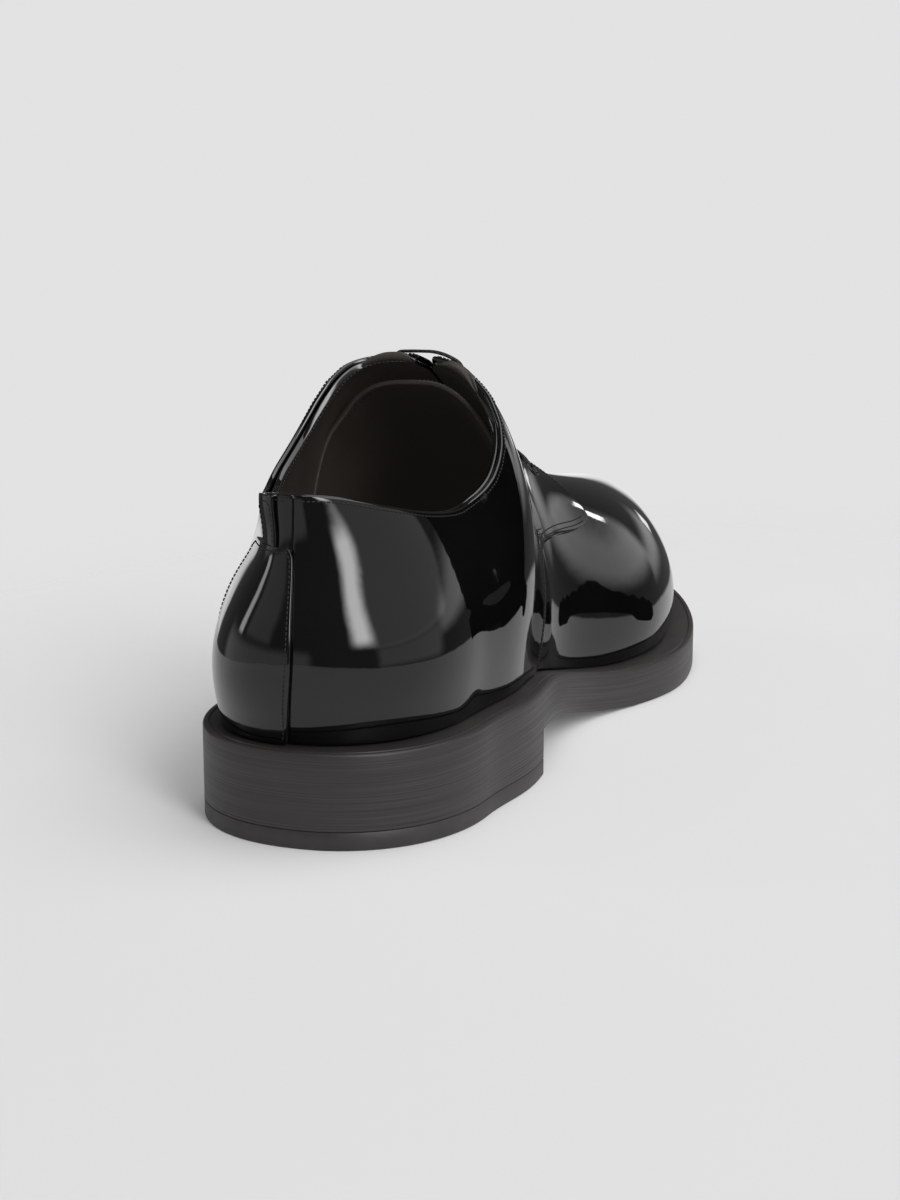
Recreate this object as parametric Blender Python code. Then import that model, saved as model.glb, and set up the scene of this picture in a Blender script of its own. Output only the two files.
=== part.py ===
"""A black patent leather laced dress shoe for the left foot, as separate solids.

Tables and sizes are in millimetres, measured along the shoe from the back of the heel. The finished
solids are in metres: toe towards +Y, inner (medial) side towards +X, standing on Z = 0, origin under
the middle of the shoe.
"""

import math
from bisect import bisect
from collections import namedtuple
from functools import lru_cache

import bmesh
import bpy
import numpy as np

MM = 0.001

# Driving sizes of the sole
LENGTH = 300.0
SOLE_THICKNESS = 13.2
SEAT_HEIGHT = 25.8
BREAST = 87.5
BREAST_HEIGHT = 26.6
TOE_SPRING = 10.0
SPRING_CURVE = 1.7
FLAT_START = 180.0
FLAT_END = 216.0
LIFT_THICKNESS = 5.0
HEEL_ROUND = 45.0
TOE_ROUND = 92.0
HEEL_SQUARENESS = 2.15
TOE_SQUARENESS = 1.84
TIP_SHIFT = 2.0
GAP = 0.35

# Driving sizes of the upper
LEDGE = 8.0
SIDE_CLEARANCE = 3.6
WALL = 1.8
TUCK = 0.11
TUCK_FADE = 6
HEEL_SHIFT = -2.5
TOE_BOX_START = 245.0
TOE_BOX_SQUARENESS = 2.6

# Driving sizes of the sewn-on pieces
PANEL_GAP = 0.58
PANEL = 1.2
BACK_SEAM = 0.02
PATCH_GAP = 0.5
PATCH = 1.0
PATCH_TOP = 77.0
PATCH_SPAN = (-33.5, 1.0)
PATCH_BOW = 3.5
TAB_SPAN = (-23.0, -11.0)
THROAT = 165.0
COLLAR_FRONT = 107.0
SLIT_START = 90.0
SLIT_HALF = 1.6
SLIT_CLOSED = 0.5
SLIT_NARROWS = 114.0
SLIT_FADE = 20.0
TONGUE_TOP = 103.0
TONGUE_DROP = 4.8
TONGUE_DROP_END = 140.0
TONGUE_TOE = 206.0
TONGUE_ROWS = 6
TONGUE = 1.6
INSOLE = 3.0
INSOLE_INSET = 3.0
LACE_ROWS = (110.0, 121.5, 133.0, 144.5, 156.0)
LACE_WIDTH = 4.6
LACE_THICKNESS = 1.0
LACE_REACH = 12.0

# Outline of the sole between the round heel and the round toe
OutlineRow = namedtuple("OutlineRow", "along medial lateral")
OUTLINE = (
    OutlineRow(45, 42.4, -37.5),
    OutlineRow(70, 44.6, -38.8),
    OutlineRow(90, 43.3, -39.2),
    OutlineRow(110, 39.8, -40.3),
    OutlineRow(130, 37.0, -42.6),
    OutlineRow(150, 38.4, -46.0),
    OutlineRow(170, 44.6, -49.8),
    OutlineRow(190, 51.0, -52.4),
    OutlineRow(208, 53.2, -53.2),
)

# Crest of the last: height over the floor, place across the shoe, and how full each side is under it
CrestRow = namedtuple("CrestRow", "along height across medial lateral")
CREST = (
    CrestRow(8, 100.0, 0.5, 2.2, 1.6),
    CrestRow(30, 100.0, 1.0, 2.2, 1.75),
    CrestRow(50, 99.0, 1.0, 2.2, 2.8),
    CrestRow(69, 103.0, 0.0, 2.2, 4.2),
    CrestRow(84, 112.5, -1.0, 2.4, 4.0),
    CrestRow(98, 120.0, -1.5, 2.35, 3.8),
    CrestRow(108, 118.3, -1.0, 2.0, 3.5),
    CrestRow(119, 112.0, 0.0, 1.75, 3.0),
    CrestRow(130, 104.0, 1.0, 1.65, 2.7),
    CrestRow(150, 90.0, 3.0, 1.65, 2.4),
    CrestRow(170, 80.5, 5.5, 1.75, 2.2),
    CrestRow(192, 75.0, 7.5, 1.8, 2.2),
    CrestRow(215, 71.5, 7.0, 1.9, 2.1),
    CrestRow(235, 69.0, 5.0, 1.9, 2.0),
    CrestRow(255, 66.5, 3.0, 1.85, 2.0),
    CrestRow(292, 63.0, 2.0, 1.9, 2.0),
)

# Back of the heel: how far each height over the ledge lies forward of the ledge, and what share of its
# width each side of the heel loses there
BackRow = namedtuple("BackRow", "above forward medial lateral")
BACK = (
    BackRow(0, 0.0, 0.0, 0.06),
    BackRow(10, -4.2, -0.06, 0.08),
    BackRow(22, -6.4, -0.1, 0.07),
    BackRow(32, -3.6, 0.0, 0.13),
    BackRow(42, 2.5, 0.17, 0.26),
    BackRow(50, 6.3, 0.28, 0.33),
    BackRow(57, 7.5, 0.35, 0.04),
    BackRow(65, 8.0, 0.4, -0.5),
    BackRow(100, 8.5, 0.4, -0.5),
)

# Height of the collar's edge, seen from the side
CollarRow = namedtuple("CollarRow", "along medial lateral")
COLLAR = (
    CollarRow(8, 90.5, 90.5),
    CollarRow(28, 86.5, 87.0),
    CollarRow(43, 83.4, 84.6),
    CollarRow(57, 82.2, 84.8),
    CollarRow(69, 84.6, 89.5),
    CollarRow(77, 88.0, 95.0),
    CollarRow(85, 94.0, 103.5),
    CollarRow(92, 100.8, 112.0),
    CollarRow(98, 108.3, 116.8),
    CollarRow(103, 114.0, 119.0),
    CollarRow(105, 116.8, 119.6),
    CollarRow(107, 119.4, 120.0),
)

# Lower edge of the quarters where they lie over the vamp, as heights over the floor
SeamRow = namedtuple("SeamRow", "along medial lateral")
SEAM = (
    SeamRow(106, 22.0, 22.0),
    SeamRow(109, 31.0, 31.0),
    SeamRow(113, 40.0, 40.0),
    SeamRow(117, 48.0, 48.0),
    SeamRow(121, 54.5, 54.5),
    SeamRow(126, 58.8, 59.2),
    SeamRow(134, 60.6, 62.5),
    SeamRow(150, 60.8, 66.5),
    SeamRow(160, 60.6, 70.0),
    SeamRow(168, 61.2, 73.0),
    SeamRow(174, 63.5, 75.5),
)

# Upper edge of the quarters beside the slit: their distance from the crest, out to the rounded tips
FacingRow = namedtuple("FacingRow", "along reach")
FACING = (
    FacingRow(107, 1.6),
    FacingRow(114, 0.6),
    FacingRow(140, 0.8),
    FacingRow(152, 2.6),
    FacingRow(161, 6.0),
    FacingRow(167, 10.5),
    FacingRow(171, 15.5),
    FacingRow(174, 22.0),
)

MEDIAL = 1
LATERAL = -1
SIDES = {MEDIAL: "medial", LATERAL: "lateral"}

# How finely the solids are faceted; the bend stations follow the collar's front and the seam's foot
END_CROWDING = 0.65
UPPER_STATIONS = 36
UPPER_ROWS = 10
BEND_STATIONS = (94.0, 98.0, 101.0, 103.0, 104.2, 105.2, 105.6, 106.1, 109.0, 113.0, 117.0, 121.0)
SOLE_STATIONS = 44
HEEL_STATIONS = 14
PATCH_ROWS = 12
TAB_ROWS = 3
PATCH_COLUMNS = 12
LACE_COLUMNS = 12
SHARP_ANGLE = math.radians(40)


@lru_cache(maxsize=None)
def table_curve(rows, column, flowing):
    """Places, values and slopes of a column: a flowing curve bends evenly, others never overshoot."""
    places = np.array([row[0] for row in rows], dtype=float)
    values = np.array([getattr(row, column) for row in rows], dtype=float)
    steps = np.diff(places)
    rises = np.diff(values) / steps
    bends = np.eye(len(rows))
    sums = np.zeros(len(rows))
    for index in range(1, len(rows) - 1):
        before, after = rises[index - 1], rises[index]
        if flowing:
            bends[index, index - 1:index + 2] = (
                steps[index], 2 * (steps[index - 1] + steps[index]), steps[index - 1])
            sums[index] = 3 * (steps[index] * before + steps[index - 1] * after)
        elif before * after > 0:
            sums[index] = 2 * before * after / (before + after)
    return places.tolist(), values.tolist(), np.linalg.solve(bends, sums).tolist()


def smooth(rows, column, along, flowing=False):
    """The value of a table's column at a place, on a curve through its rows."""
    places, values, slopes = table_curve(rows, column, flowing)
    spot = min(max(along, places[0]), places[-1])
    index = min(bisect(places, spot) - 1, len(places) - 2)
    step = places[index + 1] - places[index]
    part = (spot - places[index]) / step
    rise = part * part * (3 - 2 * part)
    return (values[index] * (1 - rise) + values[index + 1] * rise
            + step * part * (1 - part) * ((1 - part) * slopes[index] - part * slopes[index + 1]))


def flow(rows, column, along):
    """The same on an evenly bending curve, for tables that shape a surface."""
    return smooth(rows, column, along, True)


def rounding(share, squareness):
    """Runs from 0 at a rounded end to 1 where the rounding is over."""
    rest = 1 - min(max(share, 0.0), 1.0)
    return (1 - rest ** squareness) ** (1 / squareness)


def plan(along):
    """Middle and half width of the sole's outline."""
    medial = flow(OUTLINE, "medial", along)
    lateral = flow(OUTLINE, "lateral", along)
    toe = max(0.0, 1 - (LENGTH - along) / TOE_ROUND)
    middle = (medial + lateral) / 2 + TIP_SHIFT * toe ** 2
    ends = rounding(along / HEEL_ROUND, HEEL_SQUARENESS) * rounding(
        (LENGTH - along) / TOE_ROUND, TOE_SQUARENESS)
    return middle, (medial - lateral) / 2, ends


def ease(share):
    share = min(max(share, 0.0), 1.0)
    return share * share * (3 - 2 * share)


def spring(along):
    """How far the toe is lifted off the floor."""
    share = max(0.0, (along - FLAT_END) / (LENGTH - FLAT_END))
    return TOE_SPRING * share ** SPRING_CURVE


def ledge_height(along):
    """Top of the sole, on which the upper stands."""
    seat = SEAT_HEIGHT + (BREAST_HEIGHT - SEAT_HEIGHT) * ease(along / BREAST)
    drop = ease((along - BREAST) / (FLAT_START - BREAST))
    return seat + (SOLE_THICKNESS - seat) * drop + spring(along)


def on_upper(along):
    """The place on the sole's outline that a place on the upper is worked out from."""
    return (along - LEDGE) * LENGTH / (LENGTH - 2 * LEDGE)


def toe_box(along):
    return rounding((LENGTH - LEDGE - along) / (LENGTH - LEDGE - TOE_BOX_START), TOE_BOX_SQUARENESS)


def section(along, side, outset):
    """Middle, edge, crest, foot, rise and fullness of the last's section, grown outwards by an outset."""
    middle, half, ends = plan(on_upper(along))
    middle += HEEL_SHIFT * max(0.0, 1 - along / BREAST) ** 2
    edge = middle + side * (half - SIDE_CLEARANCE + outset) * ends
    crest = flow(CREST, "across", along)
    foot = ledge_height(along) + GAP
    rise = (flow(CREST, "height", along) + outset - foot) * toe_box(along)
    fullness = flow(CREST, SIDES[side], along)
    return middle, edge, crest, foot, rise, fullness


def last_point(along, turn, side, outset=0.0):
    """A point of the last: turn runs from 0 at the ledge to 1 at the crest."""
    middle, edge, crest, foot, rise, fullness = section(along, side, outset)
    angle = turn * math.pi / 2
    edge -= (edge - middle) * TUCK * (1 - turn) ** TUCK_FADE
    across = crest + (edge - crest) * max(math.cos(angle), 0.0) ** (2 / fullness)
    above = rise * math.sin(angle) ** (2 / fullness)
    heel = max(0.0, 1 - along / BREAST) ** 2
    across -= (across - middle) * flow(BACK, SIDES[side], above) * heel
    from_middle = (along - LENGTH / 2) / (LENGTH / 2 - LEDGE)
    place = along + flow(BACK, "forward", above) * heel + outset * from_middle
    return across, place - LENGTH / 2, foot + above


def turn_at_height(along, height, side, outset):
    _, _, _, foot, rise, fullness = section(along, side, outset)
    share = min(max((height - foot) / rise, 0.0), 1.0)
    return math.asin(share ** (fullness / 2)) * 2 / math.pi


def turn_at_reach(along, reach, side, outset):
    """Where the section is a given distance across from its crest."""
    _, edge, crest, _, _, fullness = section(along, side, outset)
    share = min(reach / abs(edge - crest), 1.0)
    return math.acos(share ** (fullness / 2)) * 2 / math.pi


def slit_half(along):
    """Half the width of the lacing slit: open at the collar, laced shut below, gone at the throat."""
    laced = ease((along - COLLAR_FRONT) / (SLIT_NARROWS - COLLAR_FRONT))
    half = SLIT_HALF + (SLIT_CLOSED - SLIT_HALF) * laced
    return half * min(1.0, max(0.0, THROAT - along) / SLIT_FADE)


def top_turn(along, side, outset):
    """The upper edge of the upper: the collar, then the slit, then the crest itself."""
    if along >= THROAT:
        return 1.0
    slit = turn_at_reach(along, slit_half(along), side, outset) if along > SLIT_START else 1.0
    if along >= COLLAR_FRONT:
        return slit
    return min(slit, turn_at_height(along, smooth(COLLAR, SIDES[side], along), side, outset))


def stations(start, end, count, extra=()):
    """Places along the shoe, closer together towards both ends."""
    places = set(extra)
    for index in range(count + 1):
        share = index / count
        eased = 0.5 - 0.5 * math.cos(math.pi * share)
        places.add(start + (end - start) * (END_CROWDING * eased + (1 - END_CROWDING) * share))
    return sorted(places)


def upper_places(start, end):
    """The upper's own places: pieces that lie on it share them, so that facets stay parallel."""
    places = stations(LEDGE, LENGTH - LEDGE, UPPER_STATIONS, BEND_STATIONS + (COLLAR_FRONT, THROAT))
    return [start] + [along for along in places if start < along < end] + [end]


def glossy(name, colour, roughness, coat=0.0):
    material = bpy.data.materials.new(name)
    material.use_nodes = True
    shader = material.node_tree.nodes["Principled BSDF"]
    shader.inputs["Base Color"].default_value = (*colour, 1.0)
    shader.inputs["Roughness"].default_value = roughness
    shader.inputs["Metallic"].default_value = 0.0
    shader.inputs["Coat Weight"].default_value = coat
    return material


def finish(name, mesh, material):
    """Welds a mesh's shared points and makes it a named, smooth-shaded object."""
    bmesh.ops.remove_doubles(mesh, verts=mesh.verts, dist=1e-6)
    bmesh.ops.dissolve_degenerate(mesh, edges=mesh.edges, dist=1e-6)
    bmesh.ops.recalc_face_normals(mesh, faces=mesh.faces)
    data = bpy.data.meshes.new(name)
    mesh.to_mesh(data)
    mesh.free()
    data.materials.append(material)
    data.shade_smooth()
    data.set_sharp_from_angle(angle=SHARP_ANGLE)
    shoe_part = bpy.data.objects.new(name, data)
    bpy.context.scene.collection.objects.link(shoe_part)
    return shoe_part


def add_grid(mesh, points):
    """A sheet of quads through rows of points; gives its corners back as rows."""
    corners = [[mesh.verts.new([value * MM for value in point]) for point in row] for row in points]
    for row, above in zip(corners, corners[1:]):
        for left, right, up_right, up_left in zip(row, row[1:], above[1:], above):
            mesh.faces.new((left, right, up_right, up_left))
    return corners


def add_wall(mesh, first, second):
    """A strip of quads between two rows of corners."""
    for one, two, three, four in zip(first, first[1:], second[1:], second):
        mesh.faces.new((one, two, three, four))


def slab(name, upper_rows, lower_rows, material):
    """A closed solid between two sheets that have the same rows of points."""
    mesh = bmesh.new()
    top = add_grid(mesh, upper_rows)
    bottom = add_grid(mesh, lower_rows)
    add_wall(mesh, top[0], bottom[0])
    add_wall(mesh, top[-1], bottom[-1])
    add_wall(mesh, [row[0] for row in top], [row[0] for row in bottom])
    add_wall(mesh, [row[-1] for row in top], [row[-1] for row in bottom])
    return finish(name, mesh, material)


def across_rows(places, inset, height, columns=6):
    """Rows of points across the sole's outline at the given places, all at a height function."""
    rows = []
    for along in places:
        middle, half, ends = plan(along)
        width = (half - inset) * ends
        shares = [2 * column / columns - 1 for column in range(columns + 1)]
        rows.append([(middle + share * width, along - LENGTH / 2, height(along)) for share in shares])
    return rows


def make_outsole(material):
    places = stations(0.0, LENGTH, SOLE_STATIONS)
    top = across_rows(places, 0.0, ledge_height)
    bottom = across_rows(places, 0.0, lambda along: ledge_height(along) - SOLE_THICKNESS)
    return slab("outsole", top, bottom, material)


def make_heel_block(material):
    places = stations(0.0, BREAST, HEEL_STATIONS)
    top = across_rows(places, 0.0, lambda along: ledge_height(along) - SOLE_THICKNESS - GAP, 4)
    bottom = across_rows(places, 0.0, lambda along: LIFT_THICKNESS + GAP, 4)
    return slab("heel_block", top, bottom, material)


def make_heel_lift(material):
    places = stations(0.0, BREAST, HEEL_STATIONS)
    top = across_rows(places, 0.0, lambda along: LIFT_THICKNESS, 4)
    bottom = across_rows(places, 0.0, lambda along: 0.0, 4)
    return slab("heel_lift", top, bottom, material)


def make_insole(material):
    """The footbed fills the upper's inside at the ledge."""
    outset = -WALL - GAP
    rows = {0.0: [], INSOLE: []}
    for along in upper_places(LEDGE + INSOLE_INSET, LENGTH - LEDGE - INSOLE_INSET):
        medial = last_point(along, 0.0, MEDIAL, outset)
        lateral = last_point(along, 0.0, LATERAL, outset)
        for lift, sheet in rows.items():
            sheet.append([
                (lateral[0] + (medial[0] - lateral[0]) * share, medial[1], medial[2] + lift)
                for share in (0.0, 0.5, 1.0)
            ])
    return slab("insole", rows[INSOLE], rows[0.0], material)


def make_upper(material):
    """Vamp and lining: one wall round the foot, welded along the crest in front of the throat."""
    places = upper_places(LEDGE, LENGTH - LEDGE)
    columns = [(along, MEDIAL) for along in reversed(places)]
    columns += [(along, LATERAL) for along in places[1:]]
    mesh = bmesh.new()
    sheets = []
    for outset in (0.0, -WALL):
        points = [
            [last_point(along, row / UPPER_ROWS * top_turn(along, side, outset), side, outset)
             for along, side in columns]
            for row in range(UPPER_ROWS + 1)
        ]
        sheets.append(add_grid(mesh, points))
    outer, inner = sheets
    add_wall(mesh, outer[0], inner[0])
    opening = [index for index, (along, _) in enumerate(columns) if along <= THROAT]
    add_wall(mesh, [outer[-1][index] for index in opening], [inner[-1][index] for index in opening])
    return finish("upper", mesh, material)


def quarter_rows(side, outset):
    """A quarter's sheet, from the seam at the heel forward to its point at the throat."""
    places = upper_places(LEDGE + BACK_SEAM, FACING[-1].along)
    sheet = []
    for row in range(UPPER_ROWS + 1):
        points = []
        for along in places:
            top = top_turn(along, side, outset)
            if along > COLLAR_FRONT:
                top = turn_at_reach(along, smooth(FACING, "reach", along), side, outset)
            low = turn_at_height(along, smooth(SEAM, SIDES[side], along), side, outset)
            low = min(low, top) if along > SEAM[0].along else 0.0
            turn = min(max(row / UPPER_ROWS * top_turn(along, side, 0.0), low), top)
            points.append(last_point(along, top if row == UPPER_ROWS else turn, side, outset))
        sheet.append(points)
    return sheet


def make_quarter(name, side, material):
    return slab(name, quarter_rows(side, PANEL_GAP + PANEL), quarter_rows(side, PANEL_GAP), material)


def heel_rows(span, bow, low, high, outset, rows):
    """A sheet round the back of the heel: span gives its two edges across, which bow out in the middle."""
    sheet = []
    for row in range(rows + 1):
        points = []
        wider = bow * math.sin(math.pi * row / rows)
        for column in range(PATCH_COLUMNS + 1):
            share = column / PATCH_COLUMNS
            across = (span[0] - wider) * (1 - share) + (span[1] + wider) * share
            side = MEDIAL if across >= 0 else LATERAL
            _, half, _ = plan(HEEL_ROUND)
            width = abs(across) / (half - SIDE_CLEARANCE + outset)
            rest = (1 - width ** HEEL_SQUARENESS) ** (1 / HEEL_SQUARENESS)
            along = LEDGE + HEEL_ROUND * (1 - rest) * (LENGTH - 2 * LEDGE) / LENGTH
            bottom = turn_at_height(along, low, side, outset) if low else 0.0
            collar = smooth(COLLAR, "medial", along)
            top = turn_at_height(along, min(high, collar), side, outset)
            points.append(last_point(along, bottom + (top - bottom) * row / rows, side, outset))
        sheet.append(points)
    return sheet


def make_heel_pieces(material):
    """The stitched panel over the heel's back seam, and the narrow strip above it."""
    inner = PANEL_GAP + PANEL + PATCH_GAP
    outer = inner + PATCH
    collar = COLLAR[0].medial
    slab("heel_patch", heel_rows(PATCH_SPAN, PATCH_BOW, 0.0, PATCH_TOP, outer, PATCH_ROWS),
         heel_rows(PATCH_SPAN, PATCH_BOW, 0.0, PATCH_TOP, inner, PATCH_ROWS), material)
    slab("heel_tab", heel_rows(TAB_SPAN, 0.0, PATCH_TOP + GAP, collar, outer, TAB_ROWS),
         heel_rows(TAB_SPAN, 0.0, PATCH_TOP + GAP, collar, inner, TAB_ROWS), material)


def make_tongue(material):
    """Lies under the slit, from inside the vamp up to a little below the collar."""
    sheets = []
    for outset in (-WALL - GAP, -WALL - GAP - TONGUE):
        sheet = []
        for along in upper_places(TONGUE_TOP, TONGUE_TOE):
            drop = TONGUE_DROP * (1 - ease((along - TONGUE_TOP) / (TONGUE_DROP_END - TONGUE_TOP)))
            points = []
            for column in range(-TONGUE_ROWS, TONGUE_ROWS + 1):
                side = MEDIAL if column >= 0 else LATERAL
                turn = 1 - abs(column) / UPPER_ROWS
                across, place, height = last_point(along, turn, side, outset)
                points.append((across, place, height - drop))
            sheet.append(points)
        sheets.append(sheet)
    return slab("tongue", sheets[0], sheets[1], material)


def make_lace_bars(material):
    """Straight bars of flat lace over the slit, one for each pair of holes."""
    for number, middle in enumerate(LACE_ROWS, start=1):
        sheets = []
        for outset in (PANEL_GAP + PANEL + GAP + LACE_THICKNESS, PANEL_GAP + PANEL + GAP):
            sheet = []
            for along in (middle - LACE_WIDTH / 2, middle, middle + LACE_WIDTH / 2):
                points = []
                for column in range(LACE_COLUMNS + 1):
                    share = 2 * column / LACE_COLUMNS - 1
                    side = MEDIAL if share >= 0 else LATERAL
                    turn = turn_at_reach(along, abs(share) * LACE_REACH, side, outset)
                    points.append(last_point(along, turn, side, outset))
                sheet.append(points)
            sheets.append(sheet)
        slab("lace_bar_%d" % number, sheets[0], sheets[1], material)


def main():
    for old in list(bpy.data.objects):
        bpy.data.objects.remove(old)
    patent = glossy("black patent leather", (0.008, 0.007, 0.007), 0.06, 1.0)
    lining = glossy("dark leather lining", (0.022, 0.017, 0.013), 0.5)
    edge = glossy("brushed sole edge", (0.055, 0.048, 0.045), 0.42)
    rubber = glossy("heel rubber", (0.045, 0.042, 0.04), 0.6)
    lace = glossy("woven lace", (0.012, 0.012, 0.012), 0.7)
    make_outsole(edge)
    make_heel_block(edge)
    make_heel_lift(rubber)
    make_insole(lining)
    make_upper(patent)
    make_quarter("quarter_medial", MEDIAL, patent)
    make_quarter("quarter_lateral", LATERAL, patent)
    make_heel_pieces(patent)
    make_tongue(lining)
    make_lace_bars(lace)


main()
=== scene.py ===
"""A black patent leather laced dress shoe for the left foot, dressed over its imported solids.

Tables and sizes are in millimetres, measured along the shoe from the back of the heel, as in the part's
own source. The finished pieces are in metres.
"""

import math
from bisect import bisect
from collections import namedtuple
from functools import lru_cache

import bmesh
import bpy
import numpy as np
from mathutils import Matrix, Vector


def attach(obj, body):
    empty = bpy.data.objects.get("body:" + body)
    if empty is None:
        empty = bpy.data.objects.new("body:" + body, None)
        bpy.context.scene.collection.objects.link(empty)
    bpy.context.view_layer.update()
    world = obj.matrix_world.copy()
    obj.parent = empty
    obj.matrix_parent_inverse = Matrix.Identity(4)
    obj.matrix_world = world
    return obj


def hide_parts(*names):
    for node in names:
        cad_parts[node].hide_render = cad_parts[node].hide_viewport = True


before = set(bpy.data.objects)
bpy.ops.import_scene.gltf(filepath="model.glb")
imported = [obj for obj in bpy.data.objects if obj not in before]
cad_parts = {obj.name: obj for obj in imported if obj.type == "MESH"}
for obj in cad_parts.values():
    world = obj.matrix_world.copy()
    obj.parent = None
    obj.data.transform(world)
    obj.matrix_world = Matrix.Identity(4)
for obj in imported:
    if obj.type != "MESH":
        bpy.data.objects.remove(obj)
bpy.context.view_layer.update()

MM = 0.001

# Sizes of the sole, as in the part
LENGTH = 300.0
SOLE_THICKNESS = 13.2
SEAT_HEIGHT = 25.8
BREAST = 87.5
BREAST_HEIGHT = 26.6
TOE_SPRING = 10.0
SPRING_CURVE = 1.7
FLAT_START = 180.0
FLAT_END = 216.0
LIFT_THICKNESS = 5.0
HEEL_ROUND = 45.0
TOE_ROUND = 92.0
HEEL_SQUARENESS = 2.15
TOE_SQUARENESS = 1.84
TIP_SHIFT = 2.0
GAP = 0.35

# Sizes of the upper, as in the part
LEDGE = 8.0
SIDE_CLEARANCE = 3.6
WALL = 1.8
TUCK = 0.11
TUCK_FADE = 6
HEEL_SHIFT = -2.5
TOE_BOX_START = 245.0
TOE_BOX_SQUARENESS = 2.6
PANEL_GAP = 0.58
PANEL = 1.2
PATCH_GAP = 0.5
PATCH = 1.0
PATCH_TOP = 77.0
PATCH_BOW = 3.5
TAB_SPAN = (-23.0, -11.0)
THROAT = 165.0
COLLAR_FRONT = 107.0
SLIT_START = 90.0
SLIT_FADE = 20.0
TONGUE_TOP = 103.0
TONGUE_DROP = 4.8
TONGUE_DROP_END = 140.0
TONGUE_TOE = 206.0
TONGUE = 1.6
INSOLE = 3.0
INSOLE_INSET = 3.0
LACE_ROWS = (110.0, 121.5, 133.0, 144.5, 156.0)
LACE_REACH = 12.0
QUARTER_OUTSET = PANEL_GAP + PANEL
PATCH_OUTSET = QUARTER_OUTSET + PATCH_GAP + PATCH
TAB_OUTSET = PATCH_OUTSET - 0.3

# Sizes that differ a little from the part, to look as in the photo
PATCH_SPAN = (-35.0, 1.0)
SLIT_HALF = 2.2
SLIT_CLOSED = 0.2
SLIT_NARROWS = 111.5
LACE_WIDTH = 4.0
LACE_THICKNESS = 0.8

# How much further in than their thickness the panels reach, to lie on the leather under them
BEDDING = 0.4


# Tables: the sole's outline, the crest of the last, the heel's back, the collar, the seam and the facing
def table(columns, *rows):
    """A table of rows with named columns."""
    kind = namedtuple("Row", columns)
    return tuple(kind(*row) for row in rows)


OUTLINE = table(
    "along medial lateral",
    (45, 42.4, -37.5), (70, 44.6, -38.8), (90, 43.3, -39.2), (110, 39.8, -40.3), (130, 37.0, -42.6),
    (150, 38.4, -46.0), (170, 44.6, -49.8), (190, 51.0, -52.4), (208, 53.2, -53.2),
)

CREST = table(
    "along height across medial lateral",
    (8, 100.0, 0.5, 2.2, 1.6), (30, 100.0, 1.0, 2.2, 1.75), (50, 99.0, 1.0, 2.2, 2.8),
    (69, 103.0, 0.0, 2.2, 4.2), (84, 112.5, -1.0, 2.4, 4.0), (98, 120.0, -1.5, 2.35, 3.8),
    (108, 118.3, -1.0, 2.0, 3.5), (119, 112.0, 0.0, 1.75, 3.0), (130, 104.0, 1.0, 1.65, 2.7),
    (150, 90.0, 3.0, 1.65, 2.4), (170, 80.5, 5.5, 1.75, 2.2), (192, 75.0, 7.5, 1.8, 2.2),
    (215, 71.5, 7.0, 1.9, 2.1), (235, 69.0, 5.0, 1.9, 2.0), (255, 66.5, 3.0, 1.85, 2.0),
    (292, 63.0, 2.0, 1.9, 2.0),
)

BACK = table(
    "above forward medial lateral",
    (0, 0.0, 0.0, 0.06), (10, -4.2, -0.06, 0.08), (22, -6.4, -0.1, 0.07), (32, -3.6, 0.0, 0.13),
    (42, 2.5, 0.17, 0.26), (50, 6.3, 0.28, 0.33), (57, 7.5, 0.35, 0.04), (65, 8.0, 0.4, -0.5),
    (100, 8.5, 0.4, -0.5),
)

COLLAR = table(
    "along medial lateral",
    (8, 90.5, 90.5), (28, 86.5, 87.0), (43, 83.4, 84.6), (57, 82.2, 84.8), (69, 84.6, 89.5),
    (77, 88.0, 95.0), (85, 94.0, 103.5), (92, 100.8, 112.0), (98, 108.3, 116.8), (103, 114.0, 119.0),
    (105, 116.8, 119.6), (107, 119.4, 120.0),
)

SEAM = table(
    "along medial lateral",
    (106, 22.0, 22.0), (109, 31.0, 31.0), (113, 40.0, 40.0), (117, 48.0, 48.0), (121, 54.5, 54.5),
    (126, 58.8, 59.2), (134, 60.6, 62.5), (150, 60.8, 66.5), (160, 60.6, 70.0), (168, 61.2, 73.0),
    (174, 63.5, 75.5),
)

# The first three rows differ a little from the part
FACING = table(
    "along reach",
    (107, 2.2), (111.5, 0.4), (140, 0.6), (152, 2.6), (161, 6.0), (167, 10.5), (171, 15.5), (174, 22.0),
)

MEDIAL = 1
LATERAL = -1
SIDES = {MEDIAL: "medial", LATERAL: "lateral"}


@lru_cache(maxsize=None)
def table_curve(rows, column, flowing):
    """Places, values and slopes of a column: a flowing curve bends evenly, others never overshoot."""
    places = np.array([row[0] for row in rows], dtype=float)
    values = np.array([getattr(row, column) for row in rows], dtype=float)
    steps = np.diff(places)
    rises = np.diff(values) / steps
    bends = np.eye(len(rows))
    sums = np.zeros(len(rows))
    for index in range(1, len(rows) - 1):
        before, after = rises[index - 1], rises[index]
        if flowing:
            bends[index, index - 1:index + 2] = (
                steps[index], 2 * (steps[index - 1] + steps[index]), steps[index - 1])
            sums[index] = 3 * (steps[index] * before + steps[index - 1] * after)
        elif before * after > 0:
            sums[index] = 2 * before * after / (before + after)
    return places.tolist(), values.tolist(), np.linalg.solve(bends, sums).tolist()


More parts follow.
